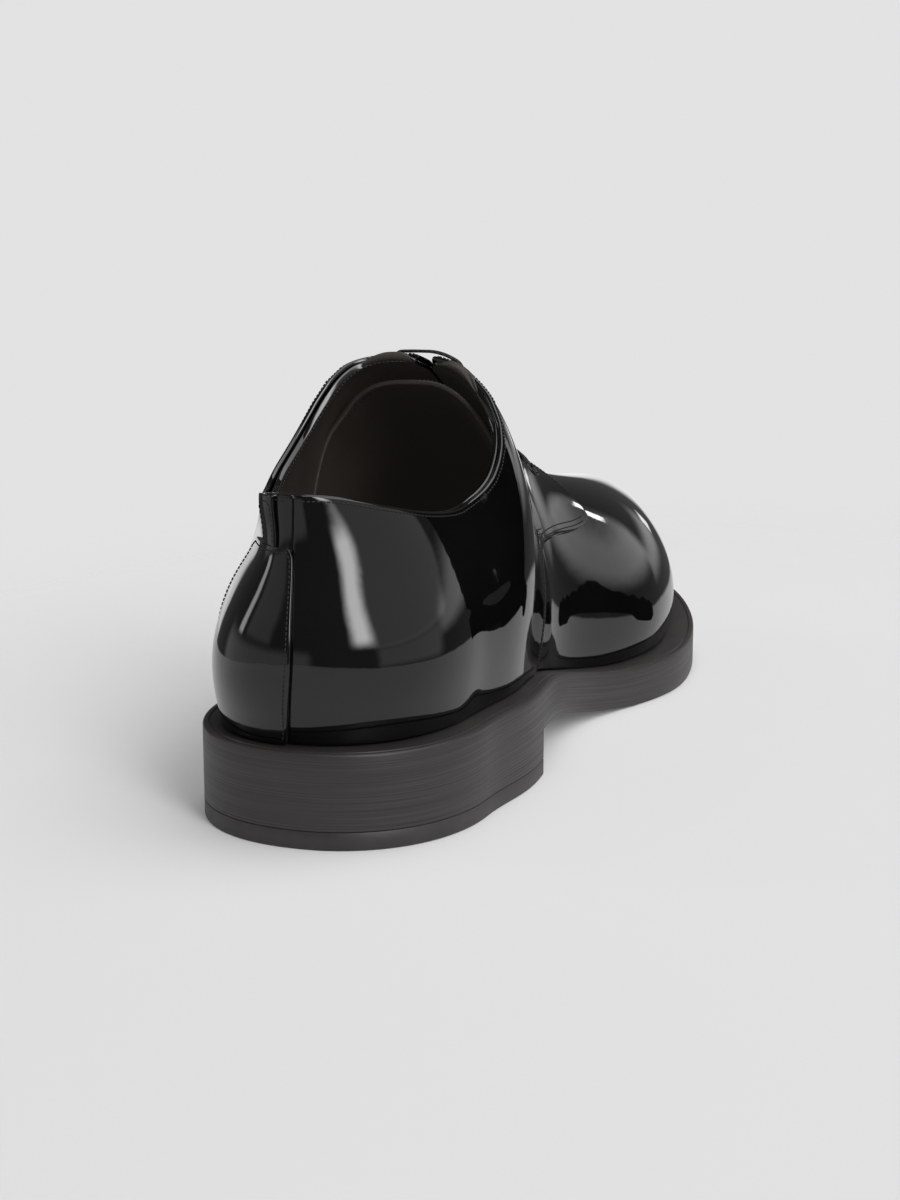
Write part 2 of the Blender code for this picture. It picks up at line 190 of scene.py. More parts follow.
def smooth(rows, column, along, flowing=False):
    """The value of a table's column at a place, on a curve through its rows."""
    places, values, slopes = table_curve(rows, column, flowing)
    spot = min(max(along, places[0]), places[-1])
    index = min(bisect(places, spot) - 1, len(places) - 2)
    step = places[index + 1] - places[index]
    part = (spot - places[index]) / step
    rise = part * part * (3 - 2 * part)
    return (values[index] * (1 - rise) + values[index + 1] * rise
            + step * part * (1 - part) * ((1 - part) * slopes[index] - part * slopes[index + 1]))


def flow(rows, column, along):
    """The same on an evenly bending curve, for tables that shape a surface."""
    return smooth(rows, column, along, True)


def rounding(share, squareness):
    """Runs from 0 at a rounded end to 1 where the rounding is over."""
    rest = 1 - min(max(share, 0.0), 1.0)
    return (1 - rest ** squareness) ** (1 / squareness)


def plan(along):
    """Middle and half width of the sole's outline, and how much its round ends narrow it."""
    medial = flow(OUTLINE, "medial", along)
    lateral = flow(OUTLINE, "lateral", along)
    toe = max(0.0, 1 - (LENGTH - along) / TOE_ROUND)
    middle = (medial + lateral) / 2 + TIP_SHIFT * toe ** 2
    ends = rounding(along / HEEL_ROUND, HEEL_SQUARENESS) * rounding(
        (LENGTH - along) / TOE_ROUND, TOE_SQUARENESS)
    return middle, (medial - lateral) / 2, ends


def ease(share):
    """Runs from 0 to 1 with a soft start and a soft end."""
    share = min(max(share, 0.0), 1.0)
    return share * share * (3 - 2 * share)


def ledge_height(along):
    """Top of the sole, on which the upper stands."""
    seat = SEAT_HEIGHT + (BREAST_HEIGHT - SEAT_HEIGHT) * ease(along / BREAST)
    drop = ease((along - BREAST) / (FLAT_START - BREAST))
    toe = max(0.0, (along - FLAT_END) / (LENGTH - FLAT_END))
    return seat + (SOLE_THICKNESS - seat) * drop + TOE_SPRING * toe ** SPRING_CURVE


def section(along, side, outset):
    """Middle, edge, crest, foot, rise and fullness of the last's section, grown outwards by an outset."""
    middle, half, ends = plan((along - LEDGE) * LENGTH / (LENGTH - 2 * LEDGE))
    middle += HEEL_SHIFT * max(0.0, 1 - along / BREAST) ** 2
    edge = middle + side * (half - SIDE_CLEARANCE + outset) * ends
    foot = ledge_height(along) + GAP
    toe = rounding((LENGTH - LEDGE - along) / (LENGTH - LEDGE - TOE_BOX_START), TOE_BOX_SQUARENESS)
    rise = (flow(CREST, "height", along) + outset - foot) * toe
    return middle, edge, flow(CREST, "across", along), foot, rise, flow(CREST, SIDES[side], along)


def last_point(along, turn, side, outset=0.0):
    """A point of the last: turn runs from 0 at the ledge to 1 at the crest."""
    middle, edge, crest, foot, rise, fullness = section(along, side, outset)
    angle = turn * math.pi / 2
    edge -= (edge - middle) * TUCK * (1 - turn) ** TUCK_FADE
    across = crest + (edge - crest) * max(math.cos(angle), 0.0) ** (2 / fullness)
    above = rise * math.sin(angle) ** (2 / fullness)
    heel = max(0.0, 1 - along / BREAST) ** 2
    across -= (across - middle) * flow(BACK, SIDES[side], above) * heel
    from_middle = (along - LENGTH / 2) / (LENGTH / 2 - LEDGE)
    place = along + flow(BACK, "forward", above) * heel + outset * from_middle
    return Vector((across, place - LENGTH / 2, foot + above))


def turn_at_height(along, height, side, outset):
    """Where the section has a given height."""
    _, _, _, foot, rise, fullness = section(along, side, outset)
    share = min(max((height - foot) / rise, 0.0), 1.0)
    return math.asin(share ** (fullness / 2)) * 2 / math.pi


def turn_at_reach(along, reach, side, outset):
    """Where the section is a given distance across from its crest."""
    _, edge, crest, _, _, fullness = section(along, side, outset)
    share = min(reach / abs(edge - crest), 1.0)
    return math.acos(share ** (fullness / 2)) * 2 / math.pi


def slit_half(along):
    """Half the width of the lacing slit: open at the collar, laced shut below, gone at the throat."""
    laced = ease((along - COLLAR_FRONT) / (SLIT_NARROWS - COLLAR_FRONT))
    half = SLIT_HALF + (SLIT_CLOSED - SLIT_HALF) * laced
    return half * min(1.0, max(0.0, THROAT - along) / SLIT_FADE)


def collar_turn(along, side, outset):
    """The upper edge of the upper: the collar, then the slit, which closes at the throat."""
    if along >= THROAT:
        return 1.0
    slit = turn_at_reach(along, slit_half(along), side, outset) if along > SLIT_START else 1.0
    if along >= COLLAR_FRONT:
        return slit
    return min(slit, turn_at_height(along, smooth(COLLAR, SIDES[side], along), side, outset))


def facing_turn(along, side, outset):
    """The upper edge of a quarter: the collar, then the facing out to its rounded tip."""
    if along <= COLLAR_FRONT:
        return collar_turn(along, side, outset)
    return turn_at_reach(along, smooth(FACING, "reach", along), side, outset)


def seam_turn(along, side, outset):
    """The lower edge of a quarter where it lies over the vamp."""
    if along <= SEAM[0].along:
        return 0.0
    low = turn_at_height(along, smooth(SEAM, SIDES[side], along), side, outset)
    return min(low, facing_turn(along, side, outset))


def surface_normal(along, turn, side, outset):
    """Outward normal of the last's surface."""
    step = 0.4
    flick = 0.01
    low = min(max(turn, 0.02), 0.985)
    ahead = last_point(along + step, low, side, outset) - last_point(along - step, low, side, outset)
    up = last_point(along, low + flick, side, outset) - last_point(along, low - flick, side, outset)
    normal = ahead.cross(up) * -side
    return normal.normalized()


def even_places(start, end, edge, side, outset, count):
    """Places along an edge of the upper that are evenly spaced on its curve."""
    fine = np.linspace(start, end, 400)
    points = [last_point(along, edge(along, side, outset), side, outset) for along in fine]
    runs = [0.0]
    for one, two in zip(points, points[1:]):
        runs.append(runs[-1] + (two - one).length)
    return np.interp(np.linspace(0, runs[-1], count + 1), runs, fine)


# Making meshes; CUT_EDGE says how crisp the cut edges of the leather stay when they are rounded
CUT_EDGE = 0.33
SHARP_ANGLE = math.radians(50)
SAME_SPOT = 2e-6


def to_piece(name, mesh, materials):
    """Puts a mesh into the scene as an object."""
    data = bpy.data.meshes.new(name)
    mesh.to_mesh(data)
    mesh.free()
    for material in materials:
        data.materials.append(material)
    data.shade_smooth()
    piece = bpy.data.objects.new(name, data)
    bpy.context.scene.collection.objects.link(piece)
    return piece


def grid_mesh(points):
    """A grid of quads with its corners moved to rows of points; doubles are merged."""
    rows = len(points) - 1
    columns = len(points[0]) - 1
    mesh = bmesh.new()
    bmesh.ops.create_grid(mesh, x_segments=columns, y_segments=rows, size=0.5)
    for corner in mesh.verts:
        column = round((corner.co.x + 0.5) * columns)
        row = round((corner.co.y + 0.5) * rows)
        corner.co = Vector(points[row][column]) * MM
    bmesh.ops.remove_doubles(mesh, verts=mesh.verts, dist=SAME_SPOT)
    bmesh.ops.dissolve_degenerate(mesh, edges=mesh.edges, dist=SAME_SPOT)
    return mesh


def face_outwards(mesh):
    """Turns a sheet's faces away from the foot's middle line."""
    axis_height = 40.0
    trend = 0.0
    for face in mesh.faces:
        centre = face.calc_center_median()
        away = Vector((centre.x, 0.0, centre.z - axis_height * MM))
        trend += face.normal.dot(away) * face.calc_area()
    if trend < 0:
        bmesh.ops.reverse_faces(mesh, faces=mesh.faces)


def add_thickness(piece, thickness, inner_slot=0, crease=0.0, levels=2):
    """Gives a sheet its real thickness inwards and rounds it."""
    wall = piece.modifiers.new("thickness", "SOLIDIFY")
    wall.thickness = thickness * MM
    wall.offset = -1.0
    wall.material_offset = inner_slot
    wall.edge_crease_rim = crease
    wall.edge_crease_outer = crease
    wall.edge_crease_inner = crease
    rounder = piece.modifiers.new("rounding", "SUBSURF")
    rounder.levels = levels
    rounder.render_levels = levels


def make_sheet(name, points, materials, thickness, **options):
    """A piece of leather or lace from rows of points, with its real thickness."""
    mesh = grid_mesh(points)
    face_outwards(mesh)
    piece = to_piece(name, mesh, materials)
    add_thickness(piece, thickness, **options)
    return piece


def sew_on(piece, slot, *nodes):
    """A finished piece rides with the shoe and stands for its solids."""
    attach(piece, "root")
    if nodes:
        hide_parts(*nodes)


# Shader helpers
def link(tree, source, target):
    tree.links.new(source, target)


def fill(node, values):
    """Sets plain values of a node's inputs."""
    for name, value in values.items():
        node.inputs[name].default_value = value


def make_noise(tree, vector, scale, detail, roughness):
    """A noise of its own scale, as a value."""
    noise = tree.nodes.new("ShaderNodeTexNoise")
    fill(noise, {"Scale": scale, "Detail": detail, "Roughness": roughness})
    link(tree, vector, noise.inputs["Vector"])
    return noise.outputs["Fac"]


def map_range(tree, value, start, end, first, last, kind):
    """A value that goes from first to last while another one goes from start to end."""
    shift = tree.nodes.new("ShaderNodeMapRange")
    shift.interpolation_type = kind
    fill(shift, {"From Min": start, "From Max": end, "To Min": first, "To Max": last})
    link(tree, value, shift.inputs["Value"])
    return shift.outputs["Result"]


def make_range(tree, value, low, high):
    """Spreads the common values of a noise from low to high."""
    return map_range(tree, value, 0.3, 0.7, low, high, "LINEAR")


def fade_between(tree, value, start, end, first, last):
    """A mapped value with a soft start and a soft end."""
    return map_range(tree, value, start, end, first, last, "SMOOTHSTEP")


def work_out(tree, operation, first, second=None, third=None):
    """A maths node; a part is a socket or a plain number."""
    node = tree.nodes.new("ShaderNodeMath")
    node.operation = operation
    for index, given in enumerate((first, second, third)):
        if given is None:
            continue
        if isinstance(given, (int, float)):
            node.inputs[index].default_value = given
        else:
            link(tree, given, node.inputs[index])
    return node.outputs["Value"]


def add_relief(tree, shader, height, depth):
    """A bump with a depth in millimetres; gives its node."""
    relief = tree.nodes.new("ShaderNodeBump")
    fill(relief, {"Strength": 1.0, "Distance": depth * MM})
    link(tree, height, relief.inputs["Height"])
    link(tree, relief.outputs["Normal"], shader.inputs["Normal"])
    return relief


def make_surface_group():
    """Uneven tone, uneven polish and fine relief that every leather and thread of the shoe shares."""
    group = bpy.data.node_groups.new("leather surface", "ShaderNodeTree")
    face = group.interface
    for way, kind, names in (
        ("INPUT", "Vector", ("Vector",)),
        ("INPUT", "Color", ("Dark", "Light")),
        ("INPUT", "Float", ("Tone Scale", "Grain Scale", "Polish", "Polish Spread")),
        ("OUTPUT", "Color", ("Colour",)),
        ("OUTPUT", "Float", ("Roughness", "Height")),
    ):
        for name in names:
            face.new_socket(name, in_out=way, socket_type="NodeSocket" + kind)
    start = group.nodes.new("NodeGroupInput")
    end = group.nodes.new("NodeGroupOutput")
    tone = group.nodes.new("ShaderNodeTexNoise")
    fill(tone, {"Detail": 4.0})
    link(group, start.outputs["Vector"], tone.inputs["Vector"])
    link(group, start.outputs["Tone Scale"], tone.inputs["Scale"])
    mix = group.nodes.new("ShaderNodeMix")
    mix.data_type = "RGBA"
    link(group, make_range(group, tone.outputs["Fac"], 0.0, 1.0), mix.inputs["Factor"])
    link(group, start.outputs["Dark"], mix.inputs["A"])
    link(group, start.outputs["Light"], mix.inputs["B"])
    link(group, mix.outputs["Result"], end.inputs["Colour"])
    grain = group.nodes.new("ShaderNodeTexNoise")
    fill(grain, {"Detail": 2.0})
    link(group, start.outputs["Vector"], grain.inputs["Vector"])
    link(group, start.outputs["Grain Scale"], grain.inputs["Scale"])
    link(group, grain.outputs["Fac"], end.inputs["Height"])
    polish = (start.outputs["Polish Spread"], start.outputs["Polish"])
    spread = work_out(group, "MULTIPLY_ADD", tone.outputs["Fac"], *polish)
    link(group, spread, end.inputs["Roughness"])
    return group


def new_material(name):
    material = bpy.data.materials.new(name)
    material.use_nodes = True
    tree = material.node_tree
    shader = tree.nodes["Principled BSDF"]
    where = tree.nodes.new("ShaderNodeTexCoord").outputs["Object"]
    return material, tree, shader, where


def place_surface(tree, shader, where, surface, dark, light, tone, grain, polish, spread, bump):
    """Puts the shared surface group into a material with its own values; gives its relief."""
    node = tree.nodes.new("ShaderNodeGroup")
    node.node_tree = surface
    link(tree, where, node.inputs["Vector"])
    fill(node, {"Dark": (*dark, 1), "Light": (*light, 1), "Tone Scale": tone, "Grain Scale": grain,
                "Polish": polish, "Polish Spread": spread})
    link(tree, node.outputs["Colour"], shader.inputs["Base Color"])
    link(tree, node.outputs["Roughness"], shader.inputs["Roughness"])
    return add_relief(tree, shader, node.outputs["Height"], bump)


def make_patent(surface):
    """Black patent leather: a clear mirror coat over black, with a faint roll in the coat."""
    material, tree, shader, where = new_material("black patent leather")
    place_surface(tree, shader, where, surface, dark=(0.0032, 0.003, 0.003), light=(0.005, 0.0047, 0.0047),
                  tone=25.0, grain=130.0, polish=0.02, spread=0.05, bump=0.05)
    fill(shader, {"Coat Weight": 0.25, "Coat Roughness": 0.01})
    return material


def make_lining_with_painted_glow(surface):
    """Dark matt leather inside the shoe, with a faint painted glow that stands in for the light reaching
    inside.
    """
    material, tree, shader, where = new_material("dark leather lining")
    place_surface(tree, shader, where, surface, dark=(0.020, 0.0165, 0.013), light=(0.032, 0.026, 0.0205),
                  tone=45.0, grain=1400.0, polish=0.42, spread=0.2, bump=0.05)
    # Painted light: a faint warm glow of its own brightens the lining, footbed and tongue as if light
    # reached inside the shoe
    fill(shader, {"Emission Color": (0.0050, 0.0043, 0.0038, 1), "Emission Strength": 1.0})
    return material


def make_thread(surface):
    """Black waxed thread."""
    material, tree, shader, where = new_material("black thread")
    place_surface(tree, shader, where, surface, dark=(0.010, 0.010, 0.010), light=(0.016, 0.0155, 0.015),
                  tone=700.0, grain=2500.0, polish=0.5, spread=0.15, bump=0.03)
    fill(shader, {"Specular IOR Level": 0.4})
    return material


def make_lace_weave(surface):
    """Flat woven lace: slanting ribs take the place of the grain."""
    material, tree, shader, where = new_material("black woven lace")
    relief = place_surface(tree, shader, where, surface,
                           dark=(0.006, 0.006, 0.006), light=(0.013, 0.013, 0.013),
                           tone=400.0, grain=2000.0, polish=0.55, spread=0.2, bump=0.12)
    weave = tree.nodes.new("ShaderNodeTexWave")
    weave.wave_type = "BANDS"
    weave.bands_direction = "DIAGONAL"
    fill(weave, {"Scale": 420.0, "Distortion": 1.0})
    link(tree, where, weave.inputs["Vector"])
    link(tree, weave.outputs["Fac"], relief.inputs["Height"])
    return material


def make_sole_edge():
    """Dark finished sole edge with fine lines that run along it."""
    material, tree, shader, _ = new_material("brushed sole edge")
    wall = tree.nodes.new("ShaderNodeUVMap")
    wall.uv_map = "wall"
    stretch = tree.nodes.new("ShaderNodeMapping")
    fill(stretch, {"Scale": (14.0, 2600.0, 1.0)})
    link(tree, wall.outputs["UV"], stretch.inputs["Vector"])
    lines = make_noise(tree, stretch.outputs["Vector"], scale=1.0, detail=3.0, roughness=0.6)
    shade = tree.nodes.new("ShaderNodeMix")
    shade.data_type = "RGBA"
    fill(shade, {"A": (0.022, 0.0195, 0.0187, 1), "B": (0.059, 0.053, 0.0515, 1)})
    link(tree, make_range(tree, lines, 0.0, 1.0), shade.inputs["Factor"])
    link(tree, shade.outputs["Result"], shader.inputs["Base Color"])
    link(tree, make_range(tree, lines, 0.52, 0.36), shader.inputs["Roughness"])
    add_relief(tree, shader, lines, depth=0.06)
    return material


def make_heel_rubber(surface):
    """Dark matt rubber."""
    material, tree, shader, where = new_material("heel rubber")
    place_surface(tree, shader, where, surface, dark=(0.036, 0.033, 0.032), light=(0.052, 0.047, 0.046),
                  tone=120.0, grain=2200.0, polish=0.38, spread=0.15, bump=0.05)
    return material


# The sole and heel
RingSpot = namedtuple("RingSpot", "along side heel")


def outline_spot(along, side):
    """How far across the sole's outline is."""
    middle, half, ends = plan(along)
    return middle + side * half * ends


def outline_normal(along, side):
    """Direction out of the sole's outline, seen from above."""
    step = 0.02
    low = max(along - step, 0.0)
    high = min(along + step, LENGTH)
    slope = (outline_spot(high, side) - outline_spot(low, side)) / (high - low)
    normal = Vector((1.0, -slope)) if side == MEDIAL else Vector((-1.0, slope))
    return normal.normalized()


def ring_of_sole():
    """Spots round the sole's outline, from the heel along the inner side and back along the outer side."""
    count = 96
    places = [LENGTH * (0.5 - 0.5 * math.cos(math.pi * step / count)) for step in range(count + 1)]
    under_heel = [along for along in places if along < BREAST - 1] + [BREAST]
    ahead = [BREAST] + [along for along in places if along > BREAST + 1]
    one_side = [(along, True) for along in under_heel] + [(along, False) for along in ahead]
    ring = [RingSpot(along, MEDIAL, heel) for along, heel in one_side]
    ring += [RingSpot(along, LATERAL, heel) for along, heel in reversed(one_side[:-1])]
    return ring


def sweep(ring, profile, low, high):
    """Rows of points round a ring. A profile row has a height and an inset, or None for the middle line."""
    rows = []
    for inset, height in profile:
        row = []
        for spot in ring:
            if inset is None:
                y = min(max(spot.along, low), high)
                x = plan(y)[0]
            else:
                out = outline_normal(spot.along, spot.side)
                x = outline_spot(spot.along, spot.side) - inset * out.x
                y = spot.along - inset * out.y
            row.append((x, y - LENGTH / 2, height(spot)))
        rows.append(row)
    return rows


def map_wall(mesh):
    """A map that runs along the sole and down from its top, so that lines follow the edge."""
    sway = 0.6
    layer = mesh.loops.layers.uv.new("wall")
    for face in mesh.faces:
        for corner in face.loops:
            spot = corner.vert.co
            along = spot.y / MM + LENGTH / 2
            corner[layer].uv = (spot.y + spot.x * sway, spot.z - ledge_height(along) * MM)


def sharp_piece(name, mesh, material):
    """A piece of the sole, mapped for its lines, with its edges kept sharp."""
    bmesh.ops.recalc_face_normals(mesh, faces=mesh.faces)
    map_wall(mesh)
    piece = to_piece(name, mesh, [material])
    piece.data.set_sharp_from_angle(angle=SHARP_ANGLE)
    return piece


def make_sole(edge):
    """The outsole with its ledge and the heel block under it, as one flush wall."""
    edge_round = 0.7
    shoulder = 0.3 * edge_round
    heel_round = 0.15
    heel_seam = 0.1
    groove = 0.35
    groove_side = 0.2
    groove_outer = 1.6
    groove_inner = 2.4
    underside = 9.0
    under_upper = LEDGE + 5.0

    def top(drop):
        return lambda spot: ledge_height(spot.along) - drop

    def base(spot):
        return LIFT_THICKNESS + heel_seam if spot.heel else ledge_height(spot.along) - SOLE_THICKNESS

    def bottom(lift):
        return lambda spot: base(spot) + (heel_round * lift if spot.heel else lift)

    def between(share):
        return lambda spot: base(spot) + (ledge_height(spot.along) - base(spot)) * share

    profile = [
        (None, bottom(0.0)), (underside, bottom(0.0)), (edge_round, bottom(0.0)),
        (shoulder, bottom(shoulder)), (0.0, bottom(edge_round)),
        (0.0, between(0.25)), (0.0, between(0.5)), (0.0, between(0.75)),
        (0.0, top(edge_round)), (shoulder, top(shoulder)), (edge_round, top(0.0)),
        (groove_outer, top(0.0)), (groove_outer + groove_side, top(groove)),
        (groove_inner - groove_side, top(groove)), (groove_inner, top(0.0)),
        (under_upper, top(0.0)), (None, top(0.0)),
    ]
    mesh = grid_mesh(sweep(ring_of_sole(), profile, HEEL_ROUND, LENGTH - TOE_ROUND / 2))
    sew_on(sharp_piece("sole", mesh, edge), "sole_edge", "outsole", "heel_block")


def make_heel_lift(rubber):
    """The thin bottom piece of the heel."""
    count = 40
    edge_round = 0.5
    shoulder = 0.15
    upper_round = 0.1
    spine_end = HEEL_ROUND + 1.0
    places = [BREAST * (1 - math.cos(math.pi / 2 * step / count)) for step in range(count + 1)]
    ring = [RingSpot(along, MEDIAL, True) for along in places]
    ring += [RingSpot(along, LATERAL, True) for along in reversed(places)]

    def level(height):
        return lambda spot: height

    profile = [
        (None, level(0.0)), (edge_round, level(0.0)), (shoulder, level(shoulder)), (0.0, level(edge_round)),
        (0.0, level(LIFT_THICKNESS - upper_round)), (upper_round, level(LIFT_THICKNESS)),
        (None, level(LIFT_THICKNESS)),
    ]
    mesh = grid_mesh(sweep(ring, profile, HEEL_ROUND, spine_end))
    sew_on(sharp_piece("heel_top_piece", mesh, rubber), "heel_rubber", "heel_lift")


def make_footbed(lining):
    """The insole, a little dished."""
    rows = 50
    columns = 13
    edge = 0.02
    depth = 0.8
    underlay = 1.0
    outset = -WALL - GAP
    points = []
    for along in np.linspace(LEDGE + INSOLE_INSET, LENGTH - LEDGE - INSOLE_INSET, rows):
        medial = last_point(along, 0.0, MEDIAL, outset)
        lateral = last_point(along, 0.0, LATERAL, outset)
        row = []
        for share in np.linspace(edge, 1 - edge, columns):
            spot = lateral.lerp(medial, share)
            dish = depth * (1 - (2 * share - 1) ** 2)
            row.append((spot.x, spot.y, spot.z + INSOLE - dish))
        points.append(row)
    mesh = grid_mesh(points)
    if sum(face.normal.z for face in mesh.faces) < 0:
        bmesh.ops.reverse_faces(mesh, faces=mesh.faces)
    footbed = to_piece("footbed", mesh, [lining])
    add_thickness(footbed, INSOLE - underlay, levels=1)
    sew_on(footbed, "lining", "insole")


# The upper and its panels: columns of their grids, and how much closer those stand at the heel
UPPER_BACK = 56
UPPER_FRONT = 40
QUARTER_HEEL = 30
QUARTER_FRONT = 46
COLUMN_CURVE = 1.8


def on_column(column, share):
    """A place and turn between the lower and the upper end of a column."""
    low, high = column
    return low[0] + (high[0] - low[0]) * share, low[1] + (high[1] - low[1]) * share


def ruled(columns, rows, side, outset):
    """Rows of points between two edges; a column gives its lower and its upper place and turn."""
    points = []
    for row in range(rows + 1):
        spots = [on_column(column, row / rows) for column in columns]
        points.append([last_point(along, turn, side, outset) for along, turn in spots])
    return points


def upper_columns(side, outset):
    """Columns from the heel's back seam to the toe."""
    curved = 0.75
    tops = even_places(LEDGE, THROAT, collar_turn, side, outset, UPPER_BACK)
    columns = []
    for step, along in enumerate(tops):
        share = step / UPPER_BACK
        foot = LEDGE + (THROAT - LEDGE) * (curved * share ** COLUMN_CURVE + (1 - curved) * share)
        columns.append(((foot, 0.0), (along, collar_turn(along, side, outset))))
    for step in range(1, UPPER_FRONT + 1):
        along = THROAT + (LENGTH - LEDGE - THROAT) * math.sin(math.pi / 2 * step / UPPER_FRONT)
        columns.append(((along, 0.0), (along, 1.0)))
    return columns


def make_upper(patent, lining):
    """Vamp and lining: one wall round the foot."""
    rows = 15
    halves = [ruled(upper_columns(side, 0.0), rows, side, 0.0) for side in (MEDIAL, LATERAL)]
    points = [medial[::-1] + lateral[1:] for medial, lateral in zip(*halves)]
    vamp = make_sheet("vamp_and_lining", points, [patent, lining], WALL, inner_slot=1, crease=CUT_EDGE)
    sew_on(vamp, "patent", "upper")


def quarter_columns(side, outset):
    """Columns of a quarter: up from the ledge at the heel, then up from the seam to the facing."""
    seam_foot = SEAM[0].along
    collar_part = 99.0
    columns = []
    for step in range(QUARTER_HEEL):
        share = (step / QUARTER_HEEL) ** COLUMN_CURVE
        foot = LEDGE + (seam_foot - LEDGE) * share
        top = LEDGE + (collar_part - LEDGE) * share
        columns.append(((foot, 0.0), (top, facing_turn(top, side, outset))))
    tip = FACING[-1].along
    lows = even_places(seam_foot + 0.01, tip, seam_turn, side, outset, QUARTER_FRONT)
    tops = even_places(collar_part, tip, facing_turn, side, outset, QUARTER_FRONT)
    for low, top in zip(lows, tops):
        columns.append(((low, seam_turn(low, side, outset)), (top, facing_turn(top, side, outset))))
    return columns


def make_quarter(side, patent):
    """An outer panel, sewn over the vamp in front; it is laid flat on the wall under it."""
    rows = 14
    points = ruled(quarter_columns(side, QUARTER_OUTSET), rows, side, QUARTER_OUTSET)
    quarter = make_sheet("quarter_panel_" + SIDES[side], points, [patent], PANEL + BEDDING, crease=CUT_EDGE)
    sew_on(quarter, "patent", "quarter_" + SIDES[side])


def heel_spot(across, height, outset):
    """Place, turn and side at the back of the heel, by the distance from its middle and the height."""
    side = MEDIAL if across >= 0 else LATERAL
    _, half, _ = plan(HEEL_ROUND)
    share = abs(across) / (half - SIDE_CLEARANCE + outset)
    rest = (1 - share ** HEEL_SQUARENESS) ** (1 / HEEL_SQUARENESS)
    along = LEDGE + HEEL_ROUND * (1 - rest) * (LENGTH - 2 * LEDGE) / LENGTH
    turn = turn_at_height(along, height, side, outset)
    return along, turn, side


def heel_sheet(span, bow, low, high, corner, outset, columns, rows):
    """Rows of points for a panel on the heel's back, with bowed sides and rounded upper corners."""
    middle = (span[0] + span[1]) / 2
    half = (span[1] - span[0]) / 2
    points = []
    for row in range(rows + 1):
        height = low + (high - low) * math.sin(math.pi / 2 * row / rows)
        past = max(0.0, height - (high - corner)) / corner if corner else 0.0
        wider = bow * math.sin(math.pi * (height - low) / (high - low))
        narrow = half + wider - corner * (1 - math.sqrt(max(0.0, 1 - past ** 2)))
        line = []
        for column in range(columns + 1):
            across = middle + narrow * (2 * column / columns - 1)
            line.append(last_point(*heel_spot(across, height, outset), outset))
        points.append(line)
    return points


def make_heel_panels(patent):
    """The stitched panel over the heel's back seam, and the narrow strip above it."""
    corner = 3.0
    overlap = 1.0
    below_collar = 0.5
    floor = ledge_height(LEDGE) + GAP
    points = heel_sheet(PATCH_SPAN, PATCH_BOW, floor, PATCH_TOP, corner, PATCH_OUTSET, columns=18, rows=26)
    patch = make_sheet("heel_panel", points, [patent], PATCH + BEDDING, crease=CUT_EDGE)
    sew_on(patch, "patent", "heel_patch")
    low = PATCH_TOP - overlap
    high = COLLAR[0].medial - below_collar
    points = heel_sheet(TAB_SPAN, 0.0, low, high, 0.0, TAB_OUTSET, columns=8, rows=8)
    tab = make_sheet("heel_strip", points, [patent], PATCH + BEDDING)
    sew_on(tab, "patent", "heel_tab")


def tongue_spot(along, turn, side, outset):
    """A point of the tongue, which dips under the collar."""
    drop = TONGUE_DROP * (1 - ease((along - TONGUE_TOP) / (TONGUE_DROP_END - TONGUE_TOP)))
    spot = last_point(along, turn, side, outset)
    spot.z -= drop
    return spot


def tongue_place(share, down):
    """A place on the tongue: share runs across it, down is measured along it from its curved top edge."""
    wings = 14.0
    wing_curve = 2.5
    side_turn = 0.2
    side = MEDIAL if share >= 0 else LATERAL
    top = TONGUE_TOP - wings * abs(share) ** wing_curve
    along = top + down * (TONGUE_TOE - top) / (TONGUE_TOE - TONGUE_TOP)
    return along, 1 - (1 - side_turn) * abs(share), side


def tongue_outset(share):
    """Clear of the lining in the middle; the sides are sewn into it."""
    clear = 0.5
    passage = 0.25
    depth = 0.6
    sewn = ease((abs(share) - clear) / passage)
    return -(WALL + GAP) * (1 - sewn) - depth * sewn


def make_tongue(lining):
    """The tongue under the slit; its top edge stands a little below the collar."""
    rows = 44
    columns = 37
    points = []
    for down in np.linspace(0.0, TONGUE_TOE - TONGUE_TOP, rows):
        points.append([tongue_spot(*tongue_place(share, down), tongue_outset(share))
                       for share in np.linspace(-1, 1, columns)])
    tongue = make_sheet("tongue_leather", points, [lining], TONGUE, crease=CUT_EDGE)
    sew_on(tongue, "lining", "tongue")


# Stitches, and how far their rows stand in from the edges
STITCH_SIZE = Vector((1.0, 0.4, 0.4))
STITCH_ROUND = 0.14
STITCH_SPACING = 1.35
SEAM_ROWS = (1.6, 3.3)
EDGE_ROW = 1.6
LINING_ROW = 2.6
PATCH_ROW = 1.2
TONGUE_ROW = 1.3
TONGUE_ROW_HALF = 0.52


def make_stitch():
    """One short rounded stitch along X, half above Z = 0."""
    mesh = bmesh.new()
    bmesh.ops.create_cube(mesh, size=1.0)
    bmesh.ops.scale(mesh, verts=mesh.verts, vec=STITCH_SIZE * MM)
    bmesh.ops.bevel(mesh, geom=mesh.edges[:], offset=STITCH_ROUND * MM, affect="EDGES",
                    segments=1, profile=0.5, material=-1)
    data = bpy.data.meshes.new("one stitch")
    mesh.to_mesh(data)
    mesh.free()
    return data


